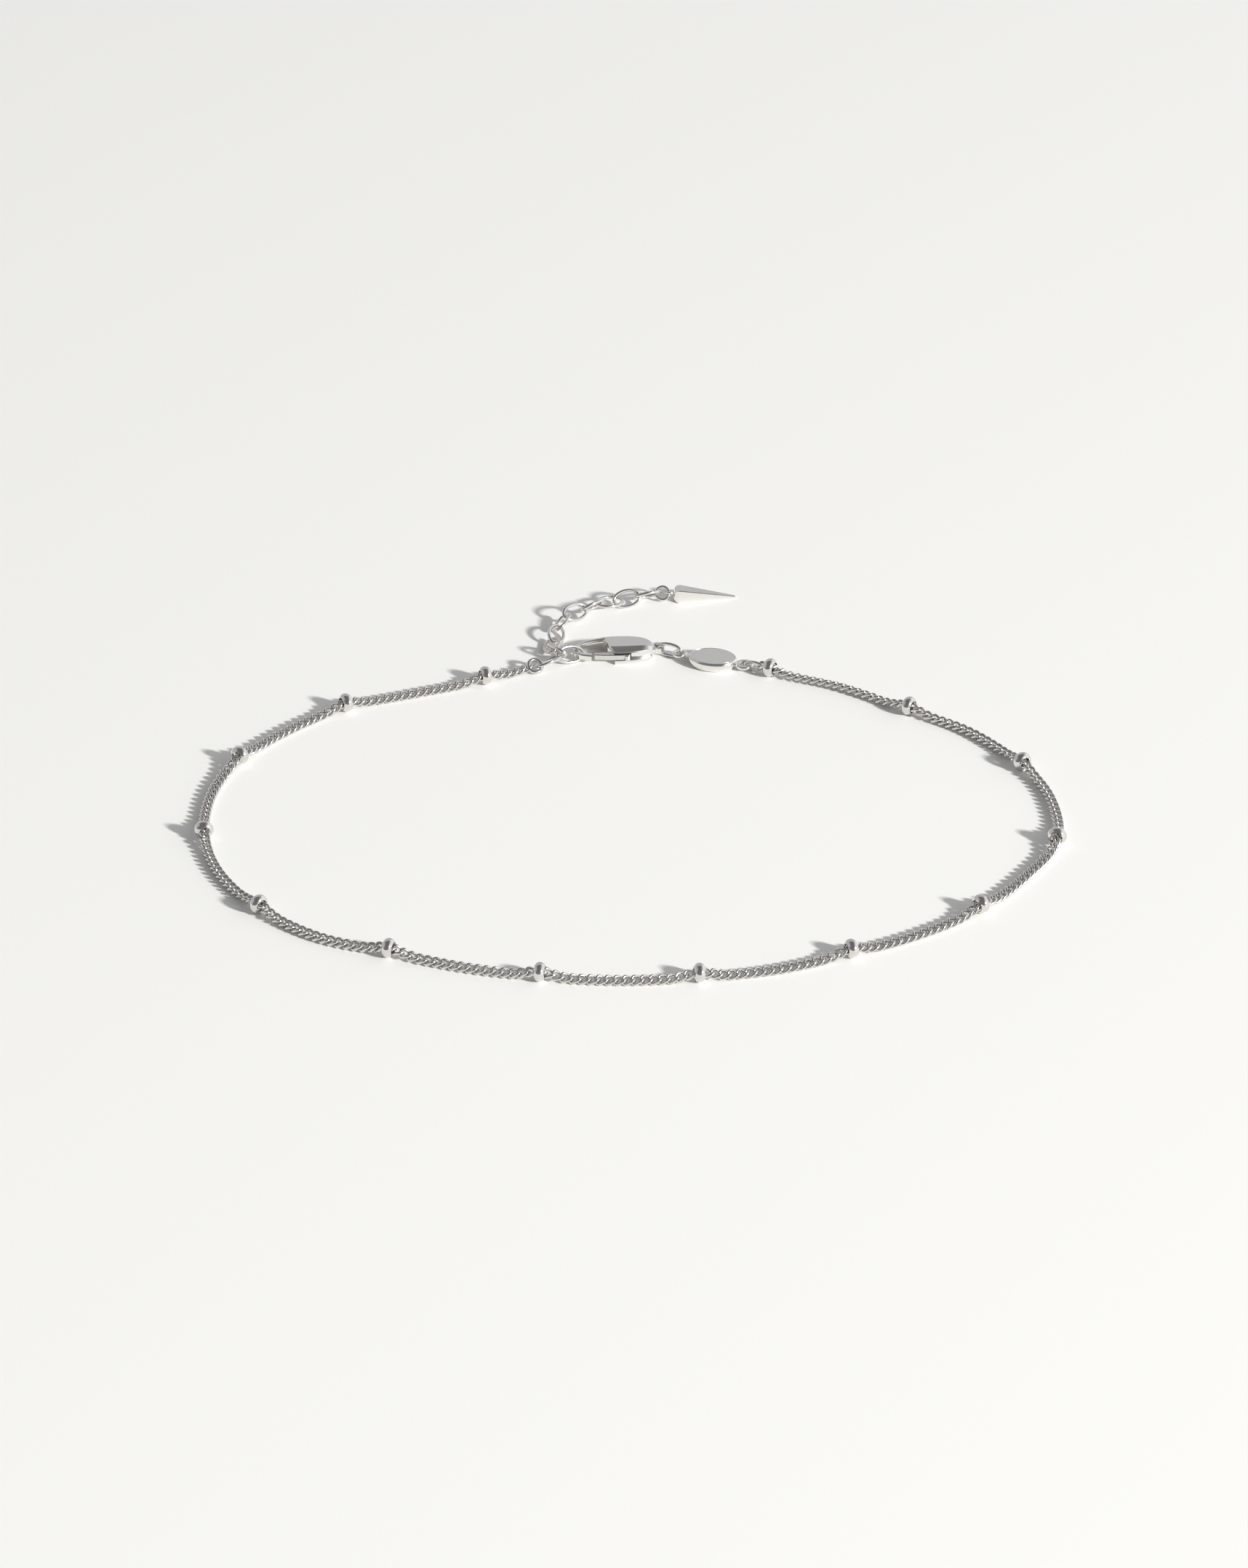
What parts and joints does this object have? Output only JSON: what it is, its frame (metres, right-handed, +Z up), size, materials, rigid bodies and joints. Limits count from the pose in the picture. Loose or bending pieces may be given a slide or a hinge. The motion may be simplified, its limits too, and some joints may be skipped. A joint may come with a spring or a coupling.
{
  "type": "chain anklet",
  "caption": "Fine twisted curb chain anklet with spaced rondelle beads, a lobster clasp, an oval tag and an oval-link extender that ends in a small spike pendant",
  "frame": {"origin": "on the surface that the anklet lies on, under the middle of its bounding box", "axes": "+Z up; the clasp, the tag and the extender are on the +Y side, and the clasp's hook points to -X"},
  "size_m": [0.0886, 0.079, 0.002],
  "materials": {
    "polished_silver": "bright polished silver",
    "chain_silver": "polished silver wire",
    "satin_silver": "satin silver"
  },
  "bodies": {
    "anklet": {"curb_chain": "chain_silver", "bead_01": "polished_silver", "bead_02": "polished_silver", "bead_03": "polished_silver", "bead_04": "polished_silver", "bead_05": "polished_silver", "bead_06": "polished_silver", "bead_07": "polished_silver", "bead_08": "polished_silver", "bead_09": "polished_silver", "bead_10": "polished_silver", "bead_11": "polished_silver", "bead_12": "polished_silver", "bead_13": "polished_silver", "bead_14": "polished_silver", "end_ring": "polished_silver", "chain_end_link": "polished_silver", "hooked_link": "polished_silver", "extender_link_01": "polished_silver", "extender_link_02": "polished_silver", "extender_link_03": "polished_silver", "extender_link_04": "polished_silver", "extender_link_05": "polished_silver", "extender_link_06": "polished_silver", "extender_link_07": "polished_silver", "extender_link_08": "polished_silver", "extender_link_09": "polished_silver", "pendant_jump_ring": "polished_silver", "clasp_link": "polished_silver", "tag_link": "polished_silver", "clasp_body": "satin_silver", "tag": "satin_silver", "spike_pendant": "satin_silver"},
    "lever": {"clasp_lever": "polished_silver"}
  },
  "joints": [
    {"name": "lever_hinge", "type": "hinge", "parent": "anklet", "child": "lever", "pos_m": [-0.00045, 0.02523, 0.00087], "axis": [0, 0, -1], "range_deg": [0, 25], "stiffness_Nm_per_rad": 0.000005, "springref_deg": -8.59}
  ]
}
